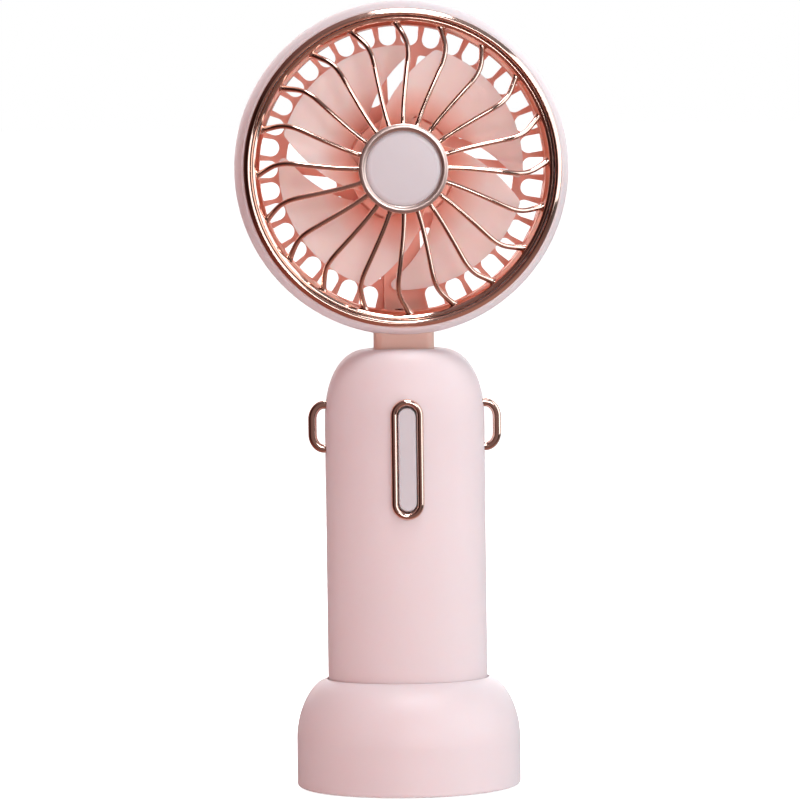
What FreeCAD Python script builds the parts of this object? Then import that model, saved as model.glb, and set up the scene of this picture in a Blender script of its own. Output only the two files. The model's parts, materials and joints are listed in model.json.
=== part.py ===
"""A handheld electric fan standing in its dock, as separate named pieces.

Millimetres, +Z up. The origin is the centre of the dock's underside. The fan blows towards -Y.
Angles on the head are degrees clockwise from the top, as seen from the front (from -Y).
"""
import FreeCAD, Part

import math
import os

from FreeCAD import Placement, Rotation, Vector

# ---------------------------------------------------------------- driving dimensions
HEAD_Z = 167.6            # height of the head's centre
HEAD_R = 45.0             # outer radius of the head casing
HEAD_WALL = 2.4
LIP_FRONT_Y = -9.4        # front edge of the casing
LIP_REAR_Y = 12.2         # rear edge of the casing

BEZEL_R_OUT = 42.6
BEZEL_R_IN = 40.85
FUNNEL_R_OUT = 40.6
FUNNEL_R_IN = 38.0
RIB_COUNT = 20
RIB_R = 0.65
HUB_RING_R = 12.0
HUB_CAP_R = 10.1
CAP_FLAT_R = 2.0          # the flat middle of a domed cap

SLOT_PITCHES = 38         # outer slots of the rear grille, two of them filled by the bracket
SLOT_WIDTH = 4.67
SLOT_R_IN = 33.2
SLOT_R_OUT = 39.0
VENT_PITCHES = 22         # inner openings of the rear grille, one filled by the bracket
VENT_R_IN = 17.8
VENT_R_OUT = 30.9
VENT_RIB = 2.1
VENT_LEAN = 5.5           # degrees that an inner rib leans from its outer to its inner end
BRACKET_HALF_ANGLE = 10.5
DUCT_HALF = 4.85
GRILLE_FRONT_Y = 9.6
GRILLE_REAR_Y = 11.6

BLADES = 4
BLADE_TIP_R = 33.0
BLADE_Y_FRONT = -5.6
BLADE_Y_REAR = 4.0
BLADE_THICK = 1.2
BLADE_CORNER_R = 1.4
HUB_R = 11.6

MOTOR_R = 12.2
MOTOR_Y = (1.0, 13.0)     # front and rear face of the can
SHAFT_R = 1.0
RUN_CLEAR = 0.03

HANDLE_A = 21.6           # half width of the handle
HANDLE_B = 15.0           # half depth of the handle
HANDLE_BOTTOM = 5.0
HANDLE_TOP = 119.1
HANDLE_WALL = 1.8
SHOULDER = (12.4, 20.0, 2.3)  # width, height and exponent of the rounded shoulder
SHOULDER_DEPTH_RATIO = 0.6    # how much of the shoulder's width is drawn in from front and back

NECK_A = 8.1
NECK_B = 4.8
NECK_CORNER = 2.3
NECK_BOTTOM = HANDLE_TOP - 11.8
NECK_FLANGE_Z = (HANDLE_TOP - 9.8, HANDLE_TOP - 7.6)

BUTTON_Z = 89.9
BUTTON_TRAVEL = 0.5
BEZEL_PILL = (8.9, 32.5)
BUTTON_PILL = (4.8, 27.7)

BOARD_Y = (-8.0, -7.0)
BOARD_Z = (67.1, 105.1)
BATTERY_R = 9.2
BATTERY_Y = 2.6
BATTERY_Z = (39.6, 104.6)
USB_Z = 35.7
CHARGE_BOARD_TOP = USB_Z - 1.63
CHARGE_BOARD_THICK = 1.0
LEAD_R = 0.38

RING_Z = 98.1
RING_HALF_HEIGHT = 7.1
RING_PIN_X = 18.6         # the upright pin that the ring swings on
RING_ARM_X = 21.8         # where the straight arms end and the bow starts
RING_OUT_X = 26.1
RING_CORNER_RISE = 5.0
RING_BAND = 2.3
RING_THICK = 1.8
RING_PIN_R = 0.8

DOCK_A = 30.3
DOCK_B = 27.0
DOCK_HEIGHT = 29.7
DOCK_CORNER = (8.6, 16.0, 1.8)
DOCK_WALL = 2.0
DOCK_GAP = 0.35
DOCK_FLOOR_TOP = 4.9

SCREW_R = 1.0
SCREW_HEAD_R = 1.9

X = Vector(1, 0, 0)
Y = Vector(0, 1, 0)
Z = Vector(0, 0, 1)
HEAD = Vector(0, 0, HEAD_Z)

nodes = {}


# ---------------------------------------------------------------- helpers
def add(name, *shapes):
    """Keeps one node: a single solid, or a group of separate solids."""
    solids = []
    for shape in shapes:
        solids.extend(shape.Solids)
    nodes[name] = solids[0] if len(solids) == 1 else Part.makeCompound(solids)


def fused(shapes):
    """One solid from touching ones."""
    result = shapes[0].multiFuse(list(shapes[1:]))
    return result.removeSplitter()


def polar(r, angle, y=0.0):
    """A point on the head, by radius and clockwise angle."""
    a = math.radians(angle)
    return Vector(r * math.sin(a), y, HEAD_Z + r * math.cos(a))


def turned(shape, angle):
    """A copy turned clockwise about the head's axis."""
    copy = shape.copy()
    copy.rotate(HEAD, Y, angle)
    return copy


def mirrored(shape):
    """The left-hand copy of a right-hand piece."""
    return shape.mirror(Vector(0, 0, 0), X)


def spun(outline):
    """A ring about the head's axis from (radius, y) corners."""
    points = [Vector(r, y, HEAD_Z) for r, y in outline]
    wire = Part.makePolygon(points + [points[0]])
    return Part.Face(wire).revolve(HEAD, Y, 360)


def spun_wire(edges):
    """A ring about the head's axis from a closed list of edges."""
    return Part.Face(Part.Wire(edges)).revolve(HEAD, Y, 360)


def head_line(p, q):
    return Part.LineSegment(Vector(p[0], p[1], HEAD_Z), Vector(q[0], q[1], HEAD_Z)).toShape()


def head_arc(p, m, q):
    return Part.Arc(*[Vector(r, y, HEAD_Z) for r, y in (p, m, q)]).toShape()


def disc(r, y0, y1, x=0.0, z=HEAD_Z):
    """A cylinder along Y."""
    return Part.makeCylinder(r, y1 - y0, Vector(x, y0, z), Y)


def post(r, z0, z1, x=0.0, y=0.0):
    """A cylinder along Z."""
    return Part.makeCylinder(r, z1 - z0, Vector(x, y, z0), Z)


def box(x0, x1, y0, y1, z0, z1):
    return Part.makeBox(x1 - x0, y1 - y0, z1 - z0, Vector(x0, y0, z0))


def pill(width, height, y0, y1, x=0.0, z=BUTTON_Z):
    """An upright pill outline, pushed along Y."""
    r = width / 2
    straight = height / 2 - r
    bar = box(x - r, x + r, y0, y1, z - straight, z + straight)
    return fused([bar, disc(r, y0, y1, x, z - straight), disc(r, y0, y1, x, z + straight)])


def flat_pill(width, height, y0, y1, x, z):
    """A pill outline lying on its side, pushed along Y."""
    r = height / 2
    straight = width / 2 - r
    bar = box(x - straight, x + straight, y0, y1, z - r, z + r)
    return fused([bar, disc(r, y0, y1, x - straight, z), disc(r, y0, y1, x + straight, z)])


def rounded_bar(a, b, corner, z0, z1):
    """An upright bar with a rounded-rectangle section."""
    bar = box(-a, a, -b, b, z0, z1)
    upright = [e for e in bar.Edges if abs(e.Vertexes[0].Z - e.Vertexes[1].Z) > 0.5 * (z1 - z0)]
    return bar.makeFillet(corner, upright)


def ellipse_wire(a, b, z):
    return Part.Wire(Part.Ellipse(Vector(0, 0, z), a, b).toShape())


def ellipse_bar(a, b, z0, z1):
    return Part.Face(ellipse_wire(a, b, z0)).extrude(Vector(0, 0, z1 - z0))


def corner_drop(depth, width, height, power):
    """How far a rounded corner has drawn in at a depth below its top."""
    if depth >= height:
        return 0.0
    rise = 1 - ((height - depth) / height) ** power
    return width * (1 - rise ** (1 / power))


def lead(points, radius, bend):
    """A wire along straight runs joined by tangent arcs."""
    edges = []
    start = points[0]
    for before, corner, after in zip(points, points[1:], points[2:]):
        u = (before - corner).normalize()
        v = (after - corner).normalize()
        half = u.getAngle(v) / 2
        reach = bend / math.tan(half)
        middle = (u + v).normalize()
        centre_away = bend / math.sin(half)
        first = corner + u * reach
        last = corner + v * reach
        apex = corner + middle * (centre_away - bend)
        edges.append(Part.LineSegment(start, first).toShape())
        edges.append(Part.Arc(first, apex, last).toShape())
        start = last
    edges.append(Part.LineSegment(start, points[-1]).toShape())
    path = Part.Wire(edges)
    direction = points[1] - points[0]
    section = Part.Wire(Part.Circle(points[0], direction, radius).toShape())
    return path.makePipeShell([section], True, True)


# ---------------------------------------------------------------- neck
def neck_parts():
    """The hollow neck, with a curved shoe inside the head and a flange inside the handle."""
    top = HEAD_Z - 40.0
    stem = rounded_bar(NECK_A, NECK_B, NECK_CORNER, NECK_BOTTOM, top)
    shoe_ring = disc(42.4, -NECK_B, NECK_B).cut(disc(39.8, -NECK_B, NECK_B))
    shoe = shoe_ring.common(box(-12, 12, -NECK_B, NECK_B, HEAD_Z - 45, HEAD_Z - 35))
    flange = box(-11, 11, -6.4, 6.4, *NECK_FLANGE_Z)
    bore = rounded_bar(NECK_A - 2.2, NECK_B - 1.6, 1.0, NECK_BOTTOM - 1, HEAD_Z - 36)
    inside_head = disc(42.4, -8, 8)
    stem_outside = stem.cut(disc(39.8, -8, 8))
    neck = fused([stem_outside, shoe, flange]).cut(bore)
    tool = fused([stem, box(-12.05, 12.05, -NECK_B, NECK_B, HEAD_Z - 44, HEAD_Z - 35).common(inside_head)])
    return neck, tool


# ---------------------------------------------------------------- head casing
def head_shells(neck_tool):
    seam_r = HEAD_R - HEAD_WALL
    tongue_r = seam_r + 1.0
    tongue_y = -1.2
    flange_y = (-7.2, -5.6)
    front = spun_wire([
        head_arc((HEAD_R, 0), (44.6, -5.0), (43.1, LIP_FRONT_Y)),
        head_line((43.1, LIP_FRONT_Y), (BEZEL_R_OUT, LIP_FRONT_Y - 0.1)),
        head_line((BEZEL_R_OUT, LIP_FRONT_Y - 0.1), (BEZEL_R_OUT, flange_y[0])),
        head_line((BEZEL_R_OUT, flange_y[0]), (FUNNEL_R_OUT + 0.05, flange_y[0])),
        head_line((FUNNEL_R_OUT + 0.05, flange_y[0]), (FUNNEL_R_OUT + 0.05, flange_y[1])),
        head_line((FUNNEL_R_OUT + 0.05, flange_y[1]), (seam_r, flange_y[1])),
        head_line((seam_r, flange_y[1]), (seam_r, tongue_y)),
        head_line((seam_r, tongue_y), (tongue_r, tongue_y)),
        head_line((tongue_r, tongue_y), (tongue_r, 0)),
        head_line((tongue_r, 0), (HEAD_R, 0)),
    ])
    rear = spun_wire([
        head_arc((HEAD_R, 0), (44.6, 6.0), (42.9, 10.6)),
        head_arc((42.9, 10.6), (42.2, 11.8), (41.0, LIP_REAR_Y)),
        head_line((41.0, LIP_REAR_Y), (40.2, LIP_REAR_Y)),
        head_line((40.2, LIP_REAR_Y), (40.2, GRILLE_FRONT_Y)),
        head_line((40.2, GRILLE_FRONT_Y), (41.4, GRILLE_FRONT_Y)),
        head_line((41.4, GRILLE_FRONT_Y), (seam_r, 6.0)),
        head_line((seam_r, 6.0), (seam_r, tongue_y)),
        head_line((seam_r, tongue_y), (tongue_r, tongue_y)),
        head_line((tongue_r, tongue_y), (tongue_r, 0)),
        head_line((tongue_r, 0), (HEAD_R, 0)),
    ])
    add("head_front_shell", front.cut(neck_tool))
    add("head_rear_shell", rear.cut(neck_tool))


def bezel_ring():
    """A convex band in the rebate of the front casing."""
    seat = -7.2
    crest = -11.0
    middle = (BEZEL_R_IN + BEZEL_R_OUT) / 2
    shoulder = -9.9
    add("bezel_ring", spun_wire([
        head_line((BEZEL_R_IN, seat), (BEZEL_R_OUT, seat)),
        head_line((BEZEL_R_OUT, seat), (BEZEL_R_OUT, shoulder)),
        head_arc((BEZEL_R_OUT, shoulder), (middle, crest), (BEZEL_R_IN, shoulder)),
        head_line((BEZEL_R_IN, shoulder), (BEZEL_R_IN, seat)),
    ]))


# ---------------------------------------------------------------- front grille
RIB_LINE = (              # radius, clockwise lead in degrees, y
    (11.4, 0.0, -13.2),
    (16.2, 0.6, -13.2),
    (21.6, 1.8, -13.0),
    (27.0, 2.8, -12.6),
    (31.1, 3.1, -11.8),
    (34.2, 2.0, -10.5),
    (37.0, -0.4, -8.8),
    (39.4, -2.6, -7.6),
)


def front_grille():
    """Swept S-shaped ribs between the hub ring and the funnel ring."""
    funnel = spun_wire([
        head_line((FUNNEL_R_OUT, -9.6), (FUNNEL_R_OUT, -5.5)),
        head_line((FUNNEL_R_OUT, -5.5), (42.4, -5.5)),
        head_line((42.4, -5.5), (42.4, -4.9)),
        head_line((42.4, -4.9), (FUNNEL_R_IN, -4.9)),
        head_line((FUNNEL_R_IN, -4.9), (FUNNEL_R_IN + 0.4, -7.2)),
        head_arc((FUNNEL_R_IN + 0.4, -7.2), (39.3, -8.9), (FUNNEL_R_OUT - 0.3, -9.8)),
        head_line((FUNNEL_R_OUT - 0.3, -9.8), (FUNNEL_R_OUT, -9.6)),
    ])
    middle = (HUB_CAP_R + HUB_RING_R) / 2
    hub = spun_wire([
        head_line((0, -12.4), (0, -11.8)),
        head_line((0, -11.8), (HUB_RING_R - 0.4, -11.8)),
        head_line((HUB_RING_R - 0.4, -11.8), (HUB_RING_R, -12.3)),
        head_line((HUB_RING_R, -12.3), (HUB_RING_R, -13.6)),
        head_arc((HUB_RING_R, -13.6), (middle, -14.5), (HUB_CAP_R, -13.6)),
        head_line((HUB_CAP_R, -13.6), (HUB_CAP_R, -12.4)),
        head_line((HUB_CAP_R, -12.4), (0, -12.4)),
    ])
    points = [polar(r, angle, y) for r, angle, y in RIB_LINE]
    curve = Part.BSplineCurve()
    curve.interpolate(points)
    path = Part.Wire(curve.toShape())
    section = Part.Wire(Part.Circle(points[0], curve.tangent(curve.FirstParameter)[0], RIB_R).toShape())
    rib = path.makePipeShell([section], True, True)
    ribs = [turned(rib, 360.0 / RIB_COUNT * k) for k in range(RIB_COUNT)]
    add("front_grille", fused([funnel, hub] + ribs))


def hub_cap():
    """A slightly domed disc inside the hub ring."""
    r = HUB_CAP_R - 0.02
    add("hub_cap", spun_wire([
        head_line((0, -12.4), (r, -12.4)),
        head_line((r, -12.4), (r, -13.7)),
        head_arc((r, -13.7), (9.4, -14.2), (8.4, -14.35)),
        head_arc((8.4, -14.35), (5.2, -14.52), (CAP_FLAT_R, -14.6)),
        head_line((CAP_FLAT_R, -14.6), (0, -14.6)),
        head_line((0, -14.6), (0, -12.4)),
    ]))


# ---------------------------------------------------------------- rear grille
def wedge(half_angle, r_in, r_out, y0, y1):
    """The sector of a ring about the bottom of the head."""
    ring = disc(r_out, y0, y1).cut(disc(r_in, y0 - 1, y1 + 1))
    reach = r_out * 1.2
    corners = [HEAD, polar(reach, 180 - half_angle), polar(reach, 180 + half_angle), HEAD]
    sector = Part.Face(Part.makePolygon(corners)).extrude(Vector(0, y1 - y0, 0))
    sector.translate(Vector(0, y0, 0))
    return ring.common(sector)


def rear_grille(lead_channel):
    y0 = GRILLE_FRONT_Y
    y1 = GRILLE_REAR_Y
    deep = (y0 - 1, y1 + 1)
    plate = disc(40.1, y0, y1)
    rim = spun([(39.2, 8.2), (41.4, 8.2), (41.4, y0), (39.2, y0)])
    slot = fused([
        disc(SLOT_WIDTH / 2, *deep, 0, HEAD_Z + SLOT_R_IN + SLOT_WIDTH / 2),
        box(-SLOT_WIDTH / 2, SLOT_WIDTH / 2, *deep, HEAD_Z + SLOT_R_IN + SLOT_WIDTH / 2, HEAD_Z + SLOT_R_OUT),
    ])
    pitch = 360.0 / SLOT_PITCHES
    slots = []
    for k in range(SLOT_PITCHES):
        angle = pitch * (k + 0.5)
        if abs(angle - 180) > pitch:
            slots.append(turned(slot, angle))
    vents = vent_openings(deep)
    socket = disc(MOTOR_R + 1.7, -0.2, 15.0)
    duct_outline = [
        Vector(-DUCT_HALF, 6.8, HEAD_Z - 12.8),
        Vector(-DUCT_HALF, 15.0, HEAD_Z - 12.8),
        Vector(-DUCT_HALF, 15.0, HEAD_Z - 17.0),
        Vector(-DUCT_HALF, 13.0, HEAD_Z - 34.0),
        Vector(-DUCT_HALF, y1, HEAD_Z - 39.5),
        Vector(-DUCT_HALF, 6.8, HEAD_Z - 39.5),
    ]
    duct = Part.Face(Part.makePolygon(duct_outline + duct_outline[:1])).extrude(Vector(2 * DUCT_HALF, 0, 0))
    body = fused([plate.multiFuse([rim]), socket, duct])
    body = body.cut(Part.makeCompound(slots + vents))
    cavity = disc(MOTOR_R + 0.02, MOTOR_Y[0], 16.0)
    nose = disc(3.1, -1.0, 2.0)
    screw_holes = [disc(0.85, -1.0, 2.0, x) for x in (-7.0, 7.0)]
    body = body.multiFuse([wedge(BRACKET_HALF_ANGLE, 17.0, 39.5, y0, y1)])
    body = body.cut(Part.makeCompound([cavity, nose] + screw_holes))
    add("rear_grille", body.cut(lead_channel).removeSplitter())


def vent_openings(deep):
    """The ring of inner openings between leaning ribs, with rounded corners."""
    ring = disc(VENT_R_OUT, *deep).cut(disc(VENT_R_IN, *deep))
    pitch = 360.0 / VENT_PITCHES
    bars = []
    for angle in (-pitch / 2, pitch / 2):
        outer = polar(VENT_R_OUT + 1.0, angle)
        inner = polar(VENT_R_IN - 1.0, angle - VENT_LEAN)
        along = (outer - inner).normalize()
        side = along.cross(Y) * (VENT_RIB / 2)
        corners = [inner + side, outer + side, outer - side, inner - side, inner + side]
        bar = Part.Face(Part.makePolygon(corners)).extrude(Vector(0, deep[1] - deep[0], 0))
        bar.translate(Vector(0, deep[0], 0))
        bars.append(bar)
    opening = min(ring.cut(Part.makeCompound(bars)).Solids, key=lambda solid: solid.Volume)
    upright = [e for e in opening.Edges if e.BoundBox.YLength > 1.0 and e.BoundBox.XLength < 0.01]
    opening = opening.makeFillet(1.0, upright)
    return [turned(opening, pitch * k) for k in range(VENT_PITCHES) if k != VENT_PITCHES // 2]


def motor_cover():
    """The shallow cap that closes the back of the motor pod."""
    r = MOTOR_R + 1.7
    cap = spun_wire([
        head_line((0, 15.0), (r, 15.0)),
        head_line((r, 15.0), (r, 15.5)),
        head_arc((r, 15.5), (r - 0.5, 16.3), (r - 1.8, 16.6)),
        head_arc((r - 1.8, 16.6), (7.0, 16.9), (CAP_FLAT_R, 17.0)),
        head_line((CAP_FLAT_R, 17.0), (0, 17.0)),
        head_line((0, 17.0), (0, 15.0)),
    ])
    spigot = disc(MOTOR_R - 0.1, 14.6, 15.0).cut(disc(MOTOR_R - 1.2, 14.6, 15.0))
    notch = box(-2.2, 2.2, 14.0, 15.0, HEAD_Z - 13.0, HEAD_Z - 9.0)
    add("motor_cover", fused([cap, spigot.cut(notch)]))


# ---------------------------------------------------------------- impeller and motor
def spiral(r, start, gain):
    """The angle of a logarithmic spiral edge at a radius."""
    return start + gain * math.log(r / 20.9)


def blade_edges(r):
    """The front and rear edge angles of a blade at a radius."""
    return spiral(r, -4.6, 45.8), 90 + spiral(r, -17.1, 57.3)


def impeller():
    radii = [9.5, 15.0, 21.0, 27.0, 31.0, 35.0]
    fractions = [-0.06, 0.2, 0.4, 0.6, 0.8, 1.06]
    grid = []
    for r in radii:
        first, last = blade_edges(r)
        row = []
        for u in fractions:
            row.append(polar(r, first + (last - first) * u, BLADE_Y_FRONT + (BLADE_Y_REAR - BLADE_Y_FRONT) * u))
        grid.append(row)
    surface = Part.BSplineSurface()
    surface.interpolate(grid)
    sheet = surface.toShape().extrude(Vector(0, BLADE_THICK, 0))
    outline_radii = [10.0, 15.0, 21.0, 27.0, BLADE_TIP_R]
    front_curve = Part.BSplineCurve()
    front_curve.interpolate([polar(r, blade_edges(r)[0]) for r in outline_radii])
    rear_curve = Part.BSplineCurve()
    rear_curve.interpolate([polar(r, blade_edges(r)[1]) for r in outline_radii])
    tip_angles = blade_edges(BLADE_TIP_R)
    root_angles = blade_edges(10.0)
    tip = Part.Arc(*[polar(BLADE_TIP_R, a) for a in (tip_angles[0], sum(tip_angles) / 2, tip_angles[1])])
    root = Part.Arc(*[polar(10.0, a) for a in (root_angles[0], sum(root_angles) / 2, root_angles[1])])
    outline = Part.Wire(Part.sortEdges([front_curve.toShape(), tip.toShape(), rear_curve.toShape(),
                                        root.toShape()])[0])
    prism = Part.Face(outline).extrude(Vector(0, 20, 0))
    prism.translate(Vector(0, -10, 0))
    tip_edges = [e for e in prism.Edges if len(e.Vertexes) == 2
                 and abs(e.Vertexes[0].Y - e.Vertexes[1].Y) > 10
                 and (e.Vertexes[0].Point - HEAD).Length > BLADE_TIP_R - 1]
    prism = prism.makeFillet(BLADE_CORNER_R, tip_edges)
    blade = sheet.common(prism)
    hub = spun_wire([
        head_line((0, -7.0), (0, -5.4)),
        head_line((0, -5.4), (HUB_R - 1.3, -5.4)),
        head_line((HUB_R - 1.3, -5.4), (HUB_R - 1.3, -0.7)),
        head_line((HUB_R - 1.3, -0.7), (HUB_R, -0.7)),
        head_line((HUB_R, -0.7), (HUB_R, -6.0)),
        head_arc((HUB_R, -6.0), (HUB_R - 0.3, -6.7), (HUB_R - 1.0, -7.0)),
        head_line((HUB_R - 1.0, -7.0), (0, -7.0)),
    ])
    boss = disc(3.0, -5.4, -1.2)
    blades = [turned(blade, 360.0 / BLADES * k) for k in range(BLADES)]
    inside = disc(HUB_R - 1.2, -5.4, 5.0).cut(boss)
    body = fused([hub, boss] + [b.cut(inside) for b in blades])
    motor_room = disc(MOTOR_R + 2.4, -0.7, 8.0)
    shaft_hole = disc(SHAFT_R, -6.2, 0.0)
    add("impeller", body.cut(motor_room).cut(shaft_hole))


def motor():
    front, rear = MOTOR_Y
    wall = 0.8
    can = spun([(SHAFT_R + 2.0, front), (MOTOR_R, front), (MOTOR_R, rear), (MOTOR_R - wall, rear),
                (MOTOR_R - wall, front + wall), (SHAFT_R + 2.0, front + wall)])
    boss = spun([(SHAFT_R + 1.4, -0.9), (SHAFT_R + 2.0, -0.9), (SHAFT_R + 2.0, front + wall),
                 (SHAFT_R + 1.4, front + wall)])
    can = fused([can, boss])
    tapped = [disc(0.8, front - 1, front + wall + 1, x) for x in (-7.0, 7.0)]
    add("motor_can", can.cut(Part.makeCompound(tapped)))
    ring = disc(MOTOR_R - wall - 0.02, 3.0, 11.6).cut(disc(MOTOR_R - wall - 1.6, 3.0, 11.6))
    gaps = box(-2.5, 2.5, 2.0, 12.0, HEAD_Z - 13, HEAD_Z + 13)
    add("motor_magnets", ring.cut(gaps))
    cap = spun([(SHAFT_R + 1.4, rear), (MOTOR_R - 0.3, rear), (MOTOR_R - 0.3, rear + 1.2),
                (SHAFT_R + 1.4, rear + 1.2)])
    add("motor_end_cap", cap)
    bush_inner = SHAFT_R + RUN_CLEAR
    bushes = [disc(SHAFT_R + 1.4, y, y + 2.2).cut(disc(bush_inner, y - 1, y + 4)) for y in (-0.4, rear - 1.0)]
    add("shaft_bushes", *bushes)
    add("motor_shaft", disc(SHAFT_R, -6.1, rear + 1.4))
    add("motor_armature", armature(3.2, 11.0))
    commutator = disc(2.6, 11.0, 11.9).cut(disc(SHAFT_R, 10.0, 13.0))
    add("motor_commutator", commutator)
    brushes = [box(x0, x0 + 0.9, 11.1, 12.95, HEAD_Z - 1.0, HEAD_Z + 1.0) for x0 in (-3.6, 2.7)]
    add("motor_brushes", *brushes)
    screws = []
    for x in (-7.0, 7.0):
        shank = disc(0.8, -0.2, front + wall - 0.05, x)
        head = disc(1.5, -0.55, -0.2, x)
        recess = disc(0.5, -0.8, -0.4, x)
        screws.append(fused([head, shank]).cut(recess))
    add("motor_screws", *screws)


def armature(y0, y1):
    """Three T-shaped poles on a core, with the windings as rounded blocks between them."""
    core = disc(3.2, y0, y1)
    pieces = [core]
    for k in range(3):
        stem = box(-1.3, 1.3, y0, y1, HEAD_Z, HEAD_Z + 8.6)
        shoe_ring = disc(9.2, y0, y1).cut(disc(7.9, y0, y1))
        shoe = shoe_ring.common(box(-7.0, 7.0, y0, y1, HEAD_Z + 5.0, HEAD_Z + 9.5))
        winding = box(-3.0, 3.0, y0 + 0.6, y1 - 0.6, HEAD_Z + 3.6, HEAD_Z + 7.6)
        pole = fused([stem, shoe, winding])
        pieces.append(turned(pole, 120 * k))
    return fused(pieces).cut(disc(SHAFT_R, y0 - 1, y1 + 1))


# ---------------------------------------------------------------- handle
def handle_body(inset):
    """The handle's form, drawn in by an even inset: an elliptic bar with a rounded shoulder."""
    a = HANDLE_A - inset
    b = HANDLE_B - inset
    bottom = HANDLE_BOTTOM + inset
    top = HANDLE_TOP - inset
    width, height, power = SHOULDER
    bar = ellipse_bar(a, b, bottom, top - height)
    foot = [e for e in bar.Edges if e.BoundBox.ZMax < bottom + 0.01]
    bar = bar.makeFillet(2.0, foot)
    levels = []
    for step in (1.0, 0.85, 0.7, 0.55, 0.4, 0.27, 0.16, 0.08, 0.03, 0.0):
        drop = corner_drop(height * step, width, height, power)
        levels.append(ellipse_wire(a - drop, b - drop * SHOULDER_DEPTH_RATIO, top - height * step))
    shoulder = Part.makeLoft(levels, True, False)
    return fused([bar, shoulder])


SCREW_PLACES = ((-14.2, 20.0), (14.2, 20.0), (-14.2, 74.0), (14.2, 74.0))
BOARD_SCREW_PLACES = ((-6.5, BOARD_Z[0] + 2.5), (6.5, BOARD_Z[0] + 2.5))


def handle_shells(neck_tool):
    outer = handle_body(0.0)
    inner = handle_body(HANDLE_WALL)
    front_half = box(-40, 40, -40, 0, 0, 130)
    rear_half = box(-40, 40, 0, 40, 0, 130)
    # Two shelves hold the flange of the neck between them.
    shelf_below = (NECK_FLANGE_Z[0] - 1.8, NECK_FLANGE_Z[0])
    shelf_above = (NECK_FLANGE_Z[1], NECK_FLANGE_Z[1] + 1.6)
    kept = [box(-40, 40, -40, 40, z0, z1) for z0, z1 in (shelf_below, shelf_above)]
    # Blocks above and below each ring carry the ends of its pin.
    ring_edge = RING_HALF_HEIGHT + 0.2
    for z0, z1 in ((RING_Z - 10.0, RING_Z - ring_edge), (RING_Z + ring_edge, RING_Z + 10.0)):
        block = box(16.4, 22.0, -3.0, 3.0, z0, z1)
        kept.extend([block, mirrored(block)])
    side_cuts = [post(RING_PIN_R + 0.06, RING_Z - 9.0, RING_Z + 9.0, RING_PIN_X)]
    for side in (-1, 1):
        z_mid = RING_Z + side * (RING_HALF_HEIGHT - RING_BAND / 2)
        half = RING_BAND / 2 + 0.15
        side_cuts.append(box(19.0, 23.0, -2.3, 2.3, z_mid - half, z_mid + half))
    side_cuts = side_cuts + [mirrored(s) for s in side_cuts]
    both_cuts = side_cuts + [neck_tool, neck_moat()]
    front_kept = list(kept)
    rear_kept = list(kept)
    front_holes = []
    rear_holes = []
    for x, z in SCREW_PLACES:
        front_kept.append(disc(2.6, -16, 0, x, z))
        rear_kept.append(disc(2.9, 0, 16, x, z))
        front_holes.append(disc(SCREW_R, -7.0, 1, x, z))
        rear_holes.append(disc(SCREW_R + 0.1, -1, 12, x, z))
        rear_holes.append(disc(SCREW_HEAD_R + 0.2, 5.0, 16, x, z))
    for x, z in BOARD_SCREW_PLACES:
        front_kept.append(disc(2.0, -16, BOARD_Y[0], x, z))
        front_holes.append(disc(0.8, -11.0, BOARD_Y[0] + 1, x, z))
    front_kept.append(pill(BEZEL_PILL[0] + 3.2, BEZEL_PILL[1] + 3.2, -16, -11.3))
    # Cradle ribs hold the cell from behind, and a shelf carries the charging board.
    for z in (44.0, 58.0, 88.0):
        rib = box(-11.5, 11.5, 6.0, 16.0, z, z + 1.6)
        rear_kept.append(rib.cut(post(BATTERY_R + 0.02, z - 1, z + 3, 0, BATTERY_Y)))
    rear_kept.append(box(-8.5, 8.5, 9.0, 16.0, 30.2, CHARGE_BOARD_TOP - CHARGE_BOARD_THICK))
    front_cavity = inner.common(front_half).cut(Part.makeCompound(front_kept))
    rear_cavity = inner.common(rear_half).cut(Part.makeCompound(rear_kept))
    front = outer.common(front_half).cut(front_cavity)
    rear = outer.common(rear_half).cut(rear_cavity)
    trim_hole = pill(*BEZEL_PILL, -18, -10)
    usb_hole = flat_pill(9.1, 3.42, 10, 18, 0, USB_Z)
    for tool in both_cuts + [trim_hole] + front_holes:
        front = front.cut(tool)
    for tool in both_cuts + [usb_hole] + rear_holes:
        rear = rear.cut(tool)
    add("handle_front_shell", front)
    add("handle_rear_shell", rear)
    screws = []
    for x, z in SCREW_PLACES:
        shank = disc(SCREW_R, -6.0, 5.0, x, z)
        head = disc(SCREW_HEAD_R, 5.0, 6.4, x, z)
        cross = fused([box(x - 1.2, x + 1.2, 5.8, 7.0, z - 0.25, z + 0.25),
                       box(x - 0.25, x + 0.25, 5.8, 7.0, z - 1.2, z + 1.2)])
        screws.append(fused([shank, head]).cut(cross))
    add("handle_screws", *screws)


def neck_moat():
    """The sloping groove round the foot of the neck, where the handle's top rolls inward."""
    depth = 0.9
    width = 1.7
    above = 0.2
    low = HANDLE_TOP - depth
    high = HANDLE_TOP + above
    wide = width * (depth + above) / depth
    lower = rounded_bar(NECK_A, NECK_B, NECK_CORNER, low, low + 1)
    upper = rounded_bar(NECK_A + wide, NECK_B + wide, NECK_CORNER + wide, high - 1, high)
    lower_wire = [f for f in lower.Faces if abs(f.BoundBox.ZMax - low) < 1e-6][0].OuterWire
    upper_wire = [f for f in upper.Faces if abs(f.BoundBox.ZMin - high) < 1e-6][0].OuterWire
    cone = Part.makeLoft([lower_wire, upper_wire], True, True)
    return cone.cut(rounded_bar(NECK_A, NECK_B, NECK_CORNER, low - 1, high + 1))


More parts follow.
